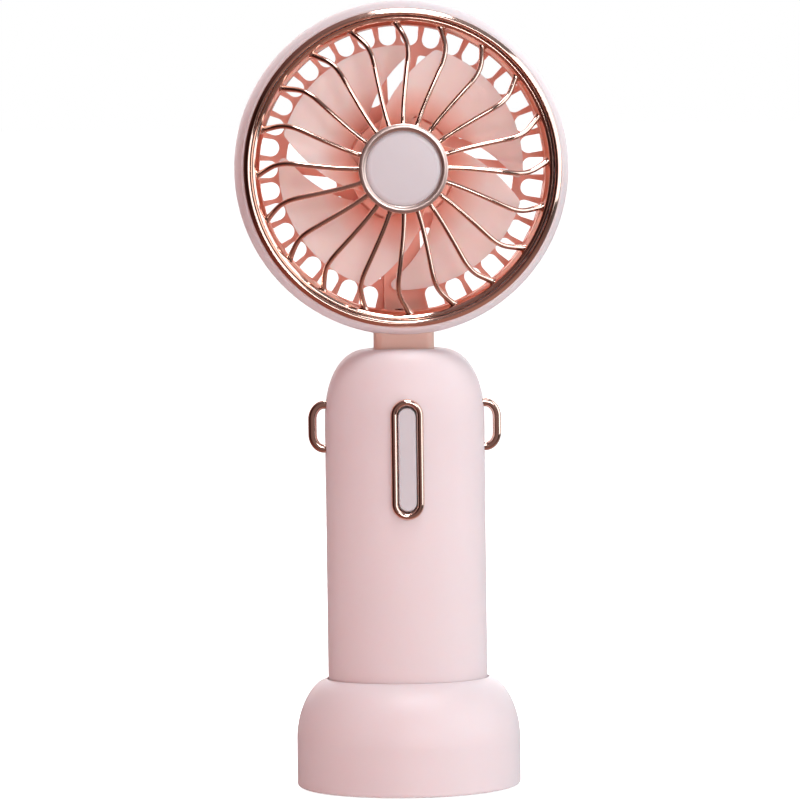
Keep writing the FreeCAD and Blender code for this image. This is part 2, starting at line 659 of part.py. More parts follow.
def button_parts():
    """The trim, the button, and the switch behind it."""
    front = -15.9
    trim = pill(*BEZEL_PILL, front, -12.5)
    opening = pill(BUTTON_PILL[0] + 0.3, BUTTON_PILL[1] + 0.3, front - 1, -12)
    trim = trim.cut(opening)
    front_edges = [e for e in trim.Edges if e.BoundBox.YMax < front + 0.01]
    add("button_bezel", trim.makeFillet(0.7, front_edges))
    cap = pill(*BUTTON_PILL, -15.5, -12.4)
    cap_edges = [e for e in cap.Edges if e.BoundBox.YMax < -15.49]
    cap = cap.makeFillet(0.4, cap_edges)
    flange = pill(BUTTON_PILL[0] + 2.0, BUTTON_PILL[1] + 2.0, -12.4, -11.7)
    stem = disc(1.7, -11.7, -11.2, 0, BUTTON_Z)
    add("power_button", fused([cap, flange, stem]))
    add("switch_plunger", disc(1.6, -11.2, -9.0, 0, BUTTON_Z))
    switch = box(-3, 3, -10.6, BOARD_Y[0], BUTTON_Z - 3, BUTTON_Z + 3)
    well = disc(1.65, -12, -9.0 + BUTTON_TRAVEL + 0.1, 0, BUTTON_Z)
    add("tact_switch", switch.cut(well))


def electronics():
    front, rear = BOARD_Y
    board = box(-9, 9, front, rear, *BOARD_Z)
    low = BOARD_Z[0]
    holes = [disc(0.9, front - 1, rear + 1, x, z) for x, z in BOARD_SCREW_PLACES]
    board = board.cut(Part.makeCompound(holes))
    chips = [
        box(-4.5, 1.0, front - 1.2, front, low + 6, low + 11),
        box(3.5, 7.0, front - 2.0, front, low + 7, low + 12),
        box(-7.5, -5.5, front - 1.0, front, low + 12, low + 16),
        box(-5.5, -2.5, front - 1.0, front, low + 30, low + 33),
    ]
    add("main_board", fused([board] + chips))
    screws = []
    for x, z in BOARD_SCREW_PLACES:
        shank = disc(0.8, -10.8, rear, x, z)
        head = disc(1.3, rear, rear + 0.35, x, z)
        screws.append(fused([shank, head]))
    add("board_screws", *screws)
    charge_top = CHARGE_BOARD_TOP
    charge = box(-8.5, 8.5, -3.0, 11.8, charge_top - CHARGE_BOARD_THICK, charge_top)
    parts = [
        box(-6.5, -3.0, 0.0, 3.0, charge_top, charge_top + 1.2),
        box(2.0, 6.0, -1.0, 3.0, charge_top, charge_top + 1.6),
    ]
    add("charge_board", fused([charge] + parts))
    outer = flat_pill(8.94, 3.26, 7.3, 14.6, 0, USB_Z)
    mouth = flat_pill(8.34, 2.66, 8.6, 15.0, 0, USB_Z)
    tongue = box(-3.3, 3.3, 8.6, 13.8, USB_Z - 0.35, USB_Z + 0.35)
    add("usb_port", fused([outer.cut(mouth), tongue]))


def battery():
    low, high = BATTERY_Z
    body = post(BATTERY_R, low + 0.4, high - 1.2, 0, BATTERY_Y)
    groove_z = high - 4.2
    groove = post(BATTERY_R + 1, groove_z, groove_z + 1.0, 0, BATTERY_Y)
    groove = groove.cut(post(BATTERY_R - 0.5, groove_z, groove_z + 1.0, 0, BATTERY_Y))
    nub = post(3.2, high - 1.2, high - 0.3, 0, BATTERY_Y)
    add("battery_cell", fused([body.cut(groove), nub]))
    top_tab = box(-3.5, 3.5, BATTERY_Y - 4.0, BATTERY_Y + 4.0, high - 0.3, high)
    low_tab = box(-3.5, 3.5, BATTERY_Y - 4.0, BATTERY_Y + 4.0, low + 0.1, low + 0.4)
    add("battery_tabs", top_tab, low_tab)
    tab_y = BATTERY_Y - 2.0
    over_top = high + 1.5
    plus = lead([
        Vector(2.6, tab_y, high),
        Vector(2.6, tab_y, over_top),
        Vector(2.6, front_of_board(), over_top),
        Vector(2.6, front_of_board(), BOARD_Z[1] - 3.0),
    ], LEAD_R, 0.9)
    minus = lead([
        Vector(-2.0, tab_y, low + 0.1),
        Vector(-2.0, tab_y, low - 1.9),
        Vector(-2.0, -1.6, low - 1.9),
        Vector(-2.0, -1.6, CHARGE_BOARD_TOP),
    ], LEAD_R, 0.9)
    add("battery_leads", plus, minus)
    links = []
    for x in (0.4, 1.4):
        links.append(lead([
            Vector(x, -2.0, CHARGE_BOARD_TOP),
            Vector(x, -2.0, CHARGE_BOARD_TOP + 2.6),
            Vector(x, front_of_board(), CHARGE_BOARD_TOP + 5.6),
            Vector(x, front_of_board(), BOARD_Z[0] + 4.2),
        ], LEAD_R, 1.4))
    add("board_leads", *links)


def front_of_board():
    """Where a lead lies against the front face of the main board."""
    return BOARD_Y[0] - LEAD_R - 0.01


# ---------------------------------------------------------------- motor leads
def motor_lead_points(x):
    """The route of a motor lead: end cap, duct, round the foot of the head, neck, main board."""
    behind_motor = MOTOR_Y[1] + 1.2 + LEAD_R + 0.02
    above_board = BOARD_Z[1] + 1.2
    return [
        Vector(x, behind_motor, HEAD_Z - 5.0),
        Vector(x, behind_motor, HEAD_Z - 14.5),
        Vector(x, 11.4, HEAD_Z - 33.6),
        Vector(x, 8.9, HEAD_Z - 38.8),
        Vector(x, 1.2, HEAD_Z - 39.2),
        Vector(x, 0.0, HEAD_Z - 44.5),
        Vector(x, 0.0, above_board),
        Vector(x, front_of_board(), above_board),
        Vector(x, front_of_board(), BOARD_Z[1] - 4.5),
    ]


def lead_channel():
    """The channel that the duct gives the motor leads."""
    outline = [
        (13.2, 11.0), (15.0, 11.0), (15.0, 15.4), (12.6, 34.6), (10.4, 39.4), (6.0, 39.4), (6.0, 38.3), (8.3, 38.1),
        (10.0, 33.0),
    ]
    half = 2.0
    corners = [Vector(-half, y, HEAD_Z - r) for y, r in outline]
    return Part.Face(Part.makePolygon(corners + corners[:1])).extrude(Vector(2 * half, 0, 0))


def motor_leads():
    wires = [lead(motor_lead_points(x), LEAD_R, 0.9) for x in (-0.6, 0.6)]
    add("motor_leads", *wires)


# ---------------------------------------------------------------- lanyard rings
def ring_plate(inset, x_start):
    """A flat D: two straight arms, two quarter ellipses and a short straight, seen from the front."""
    half_height = RING_HALF_HEIGHT - inset
    reach = RING_OUT_X - RING_ARM_X - inset
    rise = RING_CORNER_RISE - inset * 0.6
    flat = half_height - rise
    y = RING_THICK / 2
    pieces = [
        box(x_start, RING_ARM_X, -y, y, RING_Z - half_height, RING_Z + half_height),
        box(RING_ARM_X, RING_ARM_X + reach, -y, y, RING_Z - flat, RING_Z + flat),
    ]
    for z in (RING_Z - flat, RING_Z + flat):
        corner = Part.Ellipse(Vector(RING_ARM_X, -y, z + rise), Vector(RING_ARM_X + reach, -y, z),
                              Vector(RING_ARM_X, -y, z))
        bow = Part.Face(Part.Wire(corner.toShape())).extrude(Vector(0, RING_THICK, 0))
        pieces.append(bow.common(box(RING_ARM_X, RING_OUT_X, -y, y, z - rise, z + rise)))
    return fused(pieces)


def lanyard_rings():
    """D-shaped bands that swing on an upright pin inside the handle's side."""
    band = ring_plate(0.0, RING_PIN_X).cut(ring_plate(RING_BAND, RING_PIN_X - 1))
    outer_edges = [e for e in band.Edges if e.BoundBox.XMin > RING_ARM_X - 0.01 and e.BoundBox.YLength < 0.01]
    band = band.makeFillet(0.6, outer_edges)
    pin = post(RING_PIN_R, RING_Z - 8.6, RING_Z + 8.6, RING_PIN_X)
    ring = fused([band, pin])
    add("lanyard_ring_right", ring)
    add("lanyard_ring_left", mirrored(ring))


# ---------------------------------------------------------------- dock
def dock_form(inset, z0, z1):
    """The dock's outer form between two heights, drawn in by an even inset."""
    width, height, power = DOCK_CORNER
    corner_z = DOCK_HEIGHT - height
    levels = []
    for step in (1.0, 0.86, 0.7, 0.54, 0.4, 0.27, 0.16, 0.08, 0.03, 0.0):
        depth = height * step
        drop = corner_drop(depth, width, height, power)
        fraction = drop / (DOCK_A - HANDLE_A)
        a = DOCK_A - drop - inset
        b = DOCK_B - fraction * (DOCK_B - HANDLE_B) - inset
        levels.append(ellipse_wire(a, b, DOCK_HEIGHT - depth))
    upper = Part.makeLoft(levels, True, False)
    lower = ellipse_bar(DOCK_A - inset, DOCK_B - inset, 0.0, corner_z)
    return fused([lower, upper]).common(box(-40, 40, -40, 40, z0, z1))


DOCK_SCREW_PLACES = ((0.0, 20.4), (0.0, -20.4))


def dock():
    base = 0.5
    form = dock_form(0.0, base, DOCK_HEIGHT)
    bottom_edges = [e for e in form.Edges if e.BoundBox.ZMax < base + 0.01]
    form = form.makeFillet(0.9, bottom_edges)
    pocket = ellipse_bar(HANDLE_A + DOCK_GAP, HANDLE_B + DOCK_GAP, DOCK_FLOOR_TOP, DOCK_HEIGHT + 1)
    sleeve = ellipse_bar(HANDLE_A + DOCK_GAP + 1.6, HANDLE_B + DOCK_GAP + 1.6, 3.0, DOCK_HEIGHT)
    hollow = dock_form(DOCK_WALL, base - 1, DOCK_HEIGHT - 2.2).cut(sleeve)
    plate_z = 2.6
    shell = form.cut(hollow).cut(pocket)
    under = ellipse_bar(DOCK_A - DOCK_WALL, DOCK_B - DOCK_WALL, 0, plate_z + 0.4)
    shell = shell.cut(under)
    towers = []
    pilots = []
    for x, y in DOCK_SCREW_PLACES:
        towers.append(post(2.7, plate_z, DOCK_HEIGHT, x, y).common(dock_form(0.5, 0, DOCK_HEIGHT)))
        pilots.append(post(SCREW_R, plate_z - 1, 12.0, x, y))
    shell = fused([shell] + towers).cut(Part.makeCompound(pilots)).cut(pocket)
    add("dock_shell", shell)
    pad_top = 1.0
    plate = ellipse_bar(DOCK_A - DOCK_WALL - 0.05, DOCK_B - DOCK_WALL - 0.05, base + 0.1, plate_z)
    recess = ellipse_bar(26.0, 23.0, 0, pad_top)
    holes = [post(SCREW_R + 0.1, 0, plate_z + 1, x, y) for x, y in DOCK_SCREW_PLACES]
    sinks = [post(SCREW_HEAD_R + 0.1, 0, pad_top + 0.8, x, y) for x, y in DOCK_SCREW_PLACES]
    add("dock_base_plate", plate.cut(Part.makeCompound([recess] + holes + sinks)))
    screws = []
    for x, y in DOCK_SCREW_PLACES:
        shank = post(SCREW_R, pad_top + 0.8, 10.0, x, y)
        head = post(SCREW_HEAD_R, pad_top + 0.05, pad_top + 0.8, x, y)
        screws.append(fused([shank, head]))
    add("dock_screws", *screws)
    add("dock_pad", ellipse_bar(25.9, 22.9, 0.0, pad_top))


# ---------------------------------------------------------------- build and write
def build():
    neck, neck_tool = neck_parts()
    add("neck", neck)
    head_shells(neck_tool)
    bezel_ring()
    front_grille()
    hub_cap()
    rear_grille(lead_channel())
    motor_cover()
    impeller()
    motor()
    motor_leads()
    handle_shells(neck_tool)
    button_parts()
    electronics()
    battery()
    lanyard_rings()
    dock()


def write():
    os.makedirs("parts", exist_ok=True)
    for old in os.listdir("parts"):
        if old.endswith(".step"):
            os.remove(os.path.join("parts", old))
    for name, shape in nodes.items():
        shape.exportStep(f"parts/{name}.step")
        print(name, "valid" if shape.isValid() else "INVALID", len(shape.Solids), round(shape.Volume, 1))


build()
write()
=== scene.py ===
import json
import math

import bmesh
import bpy
import numpy
from mathutils import Matrix, Vector


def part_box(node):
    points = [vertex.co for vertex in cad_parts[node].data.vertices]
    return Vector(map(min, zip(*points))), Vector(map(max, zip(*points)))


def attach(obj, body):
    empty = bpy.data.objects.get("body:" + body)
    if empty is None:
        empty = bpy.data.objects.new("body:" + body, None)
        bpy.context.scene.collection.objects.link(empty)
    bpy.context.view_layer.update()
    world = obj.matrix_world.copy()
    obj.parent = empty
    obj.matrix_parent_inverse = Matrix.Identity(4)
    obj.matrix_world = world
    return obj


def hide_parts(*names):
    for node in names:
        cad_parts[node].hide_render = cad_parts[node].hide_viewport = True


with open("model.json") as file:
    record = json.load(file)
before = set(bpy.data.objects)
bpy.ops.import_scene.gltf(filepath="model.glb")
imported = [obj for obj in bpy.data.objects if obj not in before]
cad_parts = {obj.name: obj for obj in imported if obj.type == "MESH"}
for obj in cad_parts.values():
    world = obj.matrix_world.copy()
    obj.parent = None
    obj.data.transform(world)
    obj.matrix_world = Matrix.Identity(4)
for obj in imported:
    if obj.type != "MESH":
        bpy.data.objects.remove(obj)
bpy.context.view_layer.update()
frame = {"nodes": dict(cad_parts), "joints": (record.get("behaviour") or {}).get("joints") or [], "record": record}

MM = 0.001
NODES = frame["nodes"]
JOINTS = {joint["name"]: joint for joint in frame["joints"]}
HEAD = Vector(JOINTS["rotor_spin"]["pos_m"])
TAU = 2 * math.pi


# ---------------------------------------------------------------- camera, lights and floor
CAMERA_DISTANCE = 1.216
CAMERA_AZIMUTH = math.radians(-2.2)
CAMERA_PITCH = math.radians(3.64)
CAMERA_ROLL = math.radians(0.75)
CAMERA_LENS = 202.5
CAMERA_AIM = Vector((-0.0012, 0.0, 0.1050))
SENSOR_WIDTH = 36.0

BODY_MIDDLE = (0.0, 0.0, 0.12)
LAMPS = (                 # name, place, what it faces, width and height, watts, colour
    ("key_right", (0.80, -0.50, 0.40), BODY_MIDDLE, (0.8, 1.0), 4.8, (0.93, 1.0, 1.03)),
    ("top_soft", (0.10, -0.25, 1.15), BODY_MIDDLE, (0.45, 0.3), 6.3, (0.94, 1.0, 1.03)),
    ("side_left", (-0.85, -0.35, 0.2), BODY_MIDDLE, (0.3, 0.8), 1.5, (1.0, 0.32, 0.28)),
    ("back_glow", (0.0, 0.9, 0.45), BODY_MIDDLE, (1.4, 0.7), 5.5, (1.0, 0.98, 0.98)),
    ("front_fill", (0.22, -1.25, 0.42), BODY_MIDDLE, (0.35, 0.35), 2.7, (0.93, 0.96, 0.98)),
    ("low_fill", (0.0, -0.55, 0.03), (0.0, 0.0, 0.15), (0.5, 0.1), 0.8, (1.0, 0.46, 0.38)),
)
NOT_IN_REFLECTIONS = ("side_left", "low_fill")

STUDIO_LEVEL = 0.33
TINT_LEFT, TINT_RIGHT = (0.90, 0.42, 0.38), (1.28, 1.36, 1.42)
WALL_FRONT, WALL_BACK = (0.50, 0.40, 0.37), (1.0, 1.0, 1.0)
DARK_WALLS = ((0.12, 0.10), (0.46, 0.06))      # place from front to back, level
DARK_WALL_HUE = (1.0, 0.7, 0.6)
CEILING = (0.75, 0.72, 0.72)
FLOOR_BOUNCE = (0.85, 0.48, 0.38)
NOTHING = (0.0, 0.0, 0.0)

FLOOR_HALF = 60.0
FLOOR_COLOUR = (0.9, 0.9, 0.9, 1.0)
FLOOR_ROUGHNESS = 0.9
FLOOR_GLOW = 1.0


def add_camera():
    """A long lens a little to the left of the fan and a little above the middle of its head."""
    data = bpy.data.cameras.new("camera")
    data.lens = CAMERA_LENS
    data.sensor_width = SENSOR_WIDTH
    camera = bpy.data.objects.new("camera", data)
    back = Vector((math.sin(CAMERA_AZIMUTH) * math.cos(CAMERA_PITCH),
                   -math.cos(CAMERA_AZIMUTH) * math.cos(CAMERA_PITCH),
                   math.sin(CAMERA_PITCH)))
    turn = (-back).to_track_quat("-Z", "Y").to_matrix().to_4x4()
    roll = Matrix.Rotation(-CAMERA_ROLL, 4, "Z")
    camera.matrix_world = Matrix.Translation(CAMERA_AIM + back * CAMERA_DISTANCE) @ turn @ roll
    bpy.context.scene.collection.objects.link(camera)
    bpy.context.scene.camera = camera


def area_light(name, place, aim, size, power, colour):
    """A softbox at place, facing aim."""
    data = bpy.data.lights.new(name, "AREA")
    data.shape = "RECTANGLE"
    data.size, data.size_y = size
    data.energy = power
    data.color = colour
    light = bpy.data.objects.new(name, data)
    light.location = place
    light.rotation_euler = (Vector(aim) - Vector(place)).to_track_quat("-Z", "Y").to_euler()
    bpy.context.scene.collection.objects.link(light)
    return light


def add_lights():
    """Softboxes on both sides, above, behind and in front; two of them stay out of the plating."""
    for name, place, aim, size, power, colour in LAMPS:
        lamp = area_light(name, place, aim, size, power, colour)
        if name in NOT_IN_REFLECTIONS:
            lamp.visible_glossy = False


def add_studio():
    """A studio, dark behind the camera and light elsewhere; the camera itself sees plain white."""
    world = bpy.data.worlds.new("studio")
    world.use_nodes = True
    tree = world.node_tree
    walls = tree.nodes["Background"]
    walls.inputs["Strength"].default_value = STUDIO_LEVEL
    place = tree.nodes.new("ShaderNodeTexCoord")
    front_to_back = along_axis(tree, place.outputs["Generated"], (0.0, 1.0, 0.0), -1.0, 0.45)
    left_to_right = along_axis(tree, place.outputs["Generated"], (1.0, 0.0, 0.0), -0.8, 0.6)
    tint = ramp(tree, left_to_right, TINT_LEFT, TINT_RIGHT, None, 0.0, 1.0)
    level = ramp(tree, front_to_back, WALL_FRONT, WALL_BACK, None, 0.03, 0.78)
    for place_on_ramp, value in DARK_WALLS:
        level.color_ramp.elements.new(place_on_ramp).color = (*(value * hue for hue in DARK_WALL_HUE), 1.0)
    upward = along_axis(tree, place.outputs["Generated"], (0.0, 0.0, 1.0), 0.35, 0.95)
    ceiling = ramp(tree, upward, NOTHING, CEILING, None, 0.0, 1.0)
    downward = along_axis(tree, place.outputs["Generated"], (0.0, 0.0, -1.0), 0.15, 0.75)
    bounce = ramp(tree, downward, NOTHING, FLOOR_BOUNCE, None, 0.0, 1.0)
    lighter = colour_mix(tree, "LIGHTEN", level.outputs["Color"], ceiling.outputs["Color"])
    lighter = colour_mix(tree, "LIGHTEN", lighter, bounce.outputs["Color"])
    tree.links.new(colour_mix(tree, "MULTIPLY", tint.outputs["Color"], lighter), walls.inputs["Color"])
    seen = tree.nodes.new("ShaderNodeBackground")
    mix = only_when_seen(tree, walls.outputs["Background"], seen.outputs["Background"])
    seen.inputs["Color"].default_value = (1.0, 1.0, 1.0, 1.0)
    tree.links.new(mix.outputs["Shader"], tree.nodes["World Output"].inputs["Surface"])
    bpy.context.scene.world = world


def along_axis(tree, direction, axis, start, end):
    """0 to 1 as a direction swings from one side of an axis to the other."""
    dot = tree.nodes.new("ShaderNodeVectorMath")
    dot.operation = "DOT_PRODUCT"
    dot.inputs[1].default_value = axis
    spread = tree.nodes.new("ShaderNodeMapRange")
    spread.inputs["From Min"].default_value = start
    spread.inputs["From Max"].default_value = end
    tree.links.new(direction, dot.inputs[0])
    tree.links.new(dot.outputs["Value"], spread.inputs["Value"])
    return spread.outputs["Result"]


def colour_mix(tree, blend_type, first, second):
    """Two colours fully blended."""
    node = tree.nodes.new("ShaderNodeMix")
    node.data_type = "RGBA"
    node.blend_type = blend_type
    node.inputs["Factor"].default_value = 1.0
    tree.links.new(first, node.inputs["A"])
    tree.links.new(second, node.inputs["B"])
    return node.outputs["Result"]


def only_when_seen(tree, lighting, seen):
    """One shader for the light it casts and another for what is seen of it."""
    path = tree.nodes.new("ShaderNodeLightPath")
    mix = tree.nodes.new("ShaderNodeMixShader")
    tree.links.new(path.outputs["Is Camera Ray"], mix.inputs["Fac"])
    tree.links.new(lighting, mix.inputs[1])
    tree.links.new(seen, mix.inputs[2])
    return mix


def add_floor():
    """A plain pale floor that the camera sees brighter than it lights, even into the distance."""
    half = FLOOR_HALF
    corners = [(-half, -half, 0), (half, -half, 0), (half, half, 0), (-half, half, 0)]
    mesh = bpy.data.meshes.new("floor")
    mesh.from_pydata(corners, [], [(0, 1, 2, 3)])
    floor = bpy.data.objects.new("floor", mesh)
    bpy.context.scene.collection.objects.link(floor)
    material = bpy.data.materials.new("floor_paper")
    material.use_nodes = True
    tree = material.node_tree
    paper = tree.nodes["Principled BSDF"]
    paper.inputs["Base Color"].default_value = FLOOR_COLOUR
    paper.inputs["Roughness"].default_value = FLOOR_ROUGHNESS
    lit = tree.nodes.new("ShaderNodeBsdfDiffuse")
    lit.inputs["Color"].default_value = FLOOR_COLOUR
    glow = tree.nodes.new("ShaderNodeEmission")
    glow.inputs["Strength"].default_value = FLOOR_GLOW
    both = tree.nodes.new("ShaderNodeAddShader")
    tree.links.new(lit.outputs["BSDF"], both.inputs[0])
    tree.links.new(glow.outputs["Emission"], both.inputs[1])
    mix = only_when_seen(tree, paper.outputs["BSDF"], both.outputs["Shader"])
    tree.links.new(mix.outputs["Shader"], tree.nodes["Material Output"].inputs["Surface"])
    mesh.materials.append(material)
    floor.visible_glossy = False


# ---------------------------------------------------------------- materials
TONE_DROP = 0.965         # a plastic's darker tone, against its colour
PLASTIC_IOR = 1.49
SCATTER_REACH = (1.0, 0.45, 0.35)
PARTING_LINE = (0.04 * MM, 0.16 * MM)      # from its dark core to the plain surface
BLADE_SHADE_FADE = (12 * MM, 23 * MM)            # radii over which the painted shade at the hub fades out of the blades
# The root colour is painted shade from the hub cap over the blades' roots; the outer colour is the blades' own.
BLADE_ROOT_PAINTED_SHADE, BLADE_OUTER = (0.90, 0.40, 0.30), (0.95, 0.76, 0.73)
SHELL_COLOUR = (0.76, 0.66, 0.675)


def new_material(name):
    """A node material, with its tree and its main shader."""
    material = bpy.data.materials.new(name)
    material.use_nodes = True
    return material, material.node_tree, material.node_tree.nodes["Principled BSDF"]


def noise(tree, scale, detail=3.0, stretch=(1.0, 1.0, 1.0)):
    """Noise in the object's own coordinates, which are the frame's."""
    place = tree.nodes.new("ShaderNodeTexCoord")
    mapping = tree.nodes.new("ShaderNodeMapping")
    mapping.inputs["Scale"].default_value = stretch
    texture = tree.nodes.new("ShaderNodeTexNoise")
    texture.inputs["Scale"].default_value = scale
    texture.inputs["Detail"].default_value = detail
    tree.links.new(place.outputs["Object"], mapping.inputs["Vector"])
    tree.links.new(mapping.outputs["Vector"], texture.inputs["Vector"])
    return texture


def ramp(tree, source, low, high, socket, start=0.3, end=0.7):
    """source spread between two values or colours, into socket if one is given."""
    node = tree.nodes.new("ShaderNodeValToRGB")
    node.color_ramp.elements[0].position = start
    node.color_ramp.elements[1].position = end
    low_colour = (low,) * 3 if isinstance(low, float) else low
    high_colour = (high,) * 3 if isinstance(high, float) else high
    node.color_ramp.elements[0].color = (*low_colour, 1.0)
    node.color_ramp.elements[1].color = (*high_colour, 1.0)
    tree.links.new(source, node.inputs["Fac"])
    if socket:
        tree.links.new(node.outputs["Color"], socket)
    return node


def bump(tree, shader, height, strength, distance):
    node = tree.nodes.new("ShaderNodeBump")
    node.inputs["Strength"].default_value = strength
    node.inputs["Distance"].default_value = distance
    tree.links.new(height, node.inputs["Height"])
    tree.links.new(node.outputs["Normal"], shader.inputs["Normal"])
    return node


def moulded_plastic(name, colour, roughness, scatter=0.0, grain=0.12, depth=0.0025):
    """Satin injection-moulded plastic: a fine spark-eroded grain, slow tone changes, uneven gloss.

    Without a colour, the base colour is left for the caller to link.
    """
    material, tree, shader = new_material(name)
    if colour:
        slow = noise(tree, 14.0, 2.0)
        shade = tuple(c * TONE_DROP for c in colour)
        ramp(tree, slow.outputs["Fac"], shade, colour, shader.inputs["Base Color"])
    fine = noise(tree, 2600.0, 2.0)
    gloss = noise(tree, 60.0, 4.0)
    ramp(tree, gloss.outputs["Fac"], roughness - 0.05, roughness + 0.05, shader.inputs["Roughness"])
    bump(tree, shader, fine.outputs["Fac"], grain, 0.00006)
    shader.inputs["IOR"].default_value = PLASTIC_IOR
    if scatter:
        shader.inputs["Subsurface Weight"].default_value = scatter
        shader.inputs["Subsurface Radius"].default_value = SCATTER_REACH
        shader.inputs["Subsurface Scale"].default_value = depth
    return material


def split_shell(name, colour, roughness, scatter):
    """The same plastic on a shell in two halves, with a fine dark parting line at y = 0."""
    material = moulded_plastic(name, colour, roughness, scatter)
    tree = material.node_tree
    shader = tree.nodes["Principled BSDF"]
    place = tree.nodes.new("ShaderNodeTexCoord")
    parts = tree.nodes.new("ShaderNodeSeparateXYZ")
    away = tree.nodes.new("ShaderNodeMath")
    away.operation = "ABSOLUTE"
    line = tree.nodes.new("ShaderNodeMapRange")
    line.interpolation_type = "SMOOTHSTEP"
    line.inputs["From Min"].default_value = PARTING_LINE[0]
    line.inputs["From Max"].default_value = PARTING_LINE[1]
    tree.links.new(place.outputs["Object"], parts.inputs["Vector"])
    tree.links.new(parts.outputs["Y"], away.inputs[0])
    tree.links.new(away.outputs["Value"], line.inputs["Value"])
    base = shader.inputs["Base Color"].links[0].from_socket
    shade = tree.nodes.new("ShaderNodeMix")
    shade.data_type = "RGBA"
    shade.inputs["A"].default_value = tuple(c * 0.5 for c in colour) + (1.0,)
    tree.links.new(line.outputs["Result"], shade.inputs["Factor"])
    tree.links.new(base, shade.inputs["B"])
    tree.links.new(shade.outputs["Result"], shader.inputs["Base Color"])
    groove = tree.nodes.new("ShaderNodeBump")
    groove.inputs["Strength"].default_value = 0.8
    groove.inputs["Distance"].default_value = 0.00012
    tree.links.new(line.outputs["Result"], groove.inputs["Height"])
    tree.links.new(shader.inputs["Normal"].links[0].from_socket, groove.inputs["Normal"])
    tree.links.new(groove.outputs["Normal"], shader.inputs["Normal"])
    return material


def blade_plastic():
    """Thin glossy blades that let some light through, with painted shade making them deeper in colour towards the
    hub.
    """
    material = moulded_plastic("blade_pink_gloss", None, 0.33, 0.5, 0.06, 0.004)
    tree = material.node_tree
    shader = tree.nodes["Principled BSDF"]
    place = tree.nodes.new("ShaderNodeTexCoord")
    offset = tree.nodes.new("ShaderNodeVectorMath")
    offset.operation = "SUBTRACT"
    offset.inputs[1].default_value = HEAD
    across = tree.nodes.new("ShaderNodeVectorMath")
    across.operation = "MULTIPLY"
    across.inputs[1].default_value = (1.0, 0.0, 1.0)
    radius = tree.nodes.new("ShaderNodeVectorMath")
    radius.operation = "LENGTH"
    spread = tree.nodes.new("ShaderNodeMapRange")
    spread.inputs["From Min"].default_value = BLADE_SHADE_FADE[0]
    spread.inputs["From Max"].default_value = BLADE_SHADE_FADE[1]
    tree.links.new(place.outputs["Object"], offset.inputs[0])
    tree.links.new(offset.outputs["Vector"], across.inputs[0])
    tree.links.new(across.outputs["Vector"], radius.inputs[0])
    tree.links.new(radius.outputs["Value"], spread.inputs["Value"])
    base = shader.inputs["Base Color"]
    # painted shade: the blades darken and turn orange towards the hub
    ramp(tree, spread.outputs["Result"], BLADE_ROOT_PAINTED_SHADE, BLADE_OUTER, base, 0.0, 1.0)
    return material


def plated(name, colour, roughness=0.08):
    """Rose-gold electroplating: bright metal with a faint ripple and slightly worn gloss."""
    material, tree, shader = new_material(name)
    shader.inputs["Metallic"].default_value = 1.0
    tone = noise(tree, 40.0, 2.0)
    ramp(tree, tone.outputs["Fac"], tuple(c * 0.94 for c in colour), colour, shader.inputs["Base Color"])
    gloss = noise(tree, 220.0, 4.0)
    ramp(tree, gloss.outputs["Fac"], roughness - 0.03, roughness + 0.04, shader.inputs["Roughness"])
    ripple = noise(tree, 130.0, 2.0)
    bump(tree, shader, ripple.outputs["Fac"], 0.05, 0.0002)
    return material


def plain_metal(name, colour, roughness):
    """Bare metal with fine drawn streaks."""
    material, tree, shader = new_material(name)
    shader.inputs["Metallic"].default_value = 1.0
    shader.inputs["Base Color"].default_value = (*colour, 1.0)
    gloss = noise(tree, 900.0, 3.0, (1.0, 1.0, 0.05))
    ramp(tree, gloss.outputs["Fac"], roughness - 0.08, roughness + 0.08, shader.inputs["Roughness"])
    bump(tree, shader, gloss.outputs["Fac"], 0.1, 0.00003)
    return material


SHELL = moulded_plastic("shell_pink_satin", SHELL_COLOUR, 0.42, 0.25)
CAP = moulded_plastic("cap_pink_satin", (0.60, 0.575, 0.60), 0.38, 0.2)
SPLIT_SHELL = split_shell("split_shell_pink_satin", SHELL_COLOUR, 0.42, 0.25)
# The neck's darker, more orange pink is painted shade from the head above it.
NECK_PAINTED_SHADE = moulded_plastic("neck_pink_painted_shade", (0.65, 0.45, 0.38), 0.45, 0.25)
BLADE = blade_plastic()
# Pink plastic given a deep, bright coral colour: painted bounce light, standing in for light reflected round the
# pink inside of the head.
CORAL_PAINTED_BOUNCE = moulded_plastic("coral_gloss_painted_bounce", (0.98, 0.50, 0.40), 0.4, 0.35, 0.08, 0.0025)
GOLD = plated("rose_gold_plating", (0.95, 0.66, 0.56))
SATIN_GOLD = plated("rose_gold_satin_plating", (0.97, 0.76, 0.70), 0.3)
STEEL = plain_metal("bare_steel", (0.62, 0.62, 0.64), 0.32)
COPPER = plain_metal("copper_winding", (0.75, 0.34, 0.16), 0.35)
BRONZE = plain_metal("sintered_bronze", (0.58, 0.40, 0.22), 0.45)
FERRITE = moulded_plastic("dark_ferrite", (0.05, 0.05, 0.055), 0.6)
BLACK = moulded_plastic("black_nylon", (0.03, 0.03, 0.03), 0.5)
BOARD = moulded_plastic("green_board", (0.03, 0.16, 0.08), 0.4)
CELL = moulded_plastic("cell_sleeve", (0.12, 0.30, 0.48), 0.3)
LEAD = moulded_plastic("red_lead", (0.50, 0.03, 0.03), 0.45)
RUBBER = moulded_plastic("pad_rubber_pale", (0.62, 0.52, 0.50), 0.8)

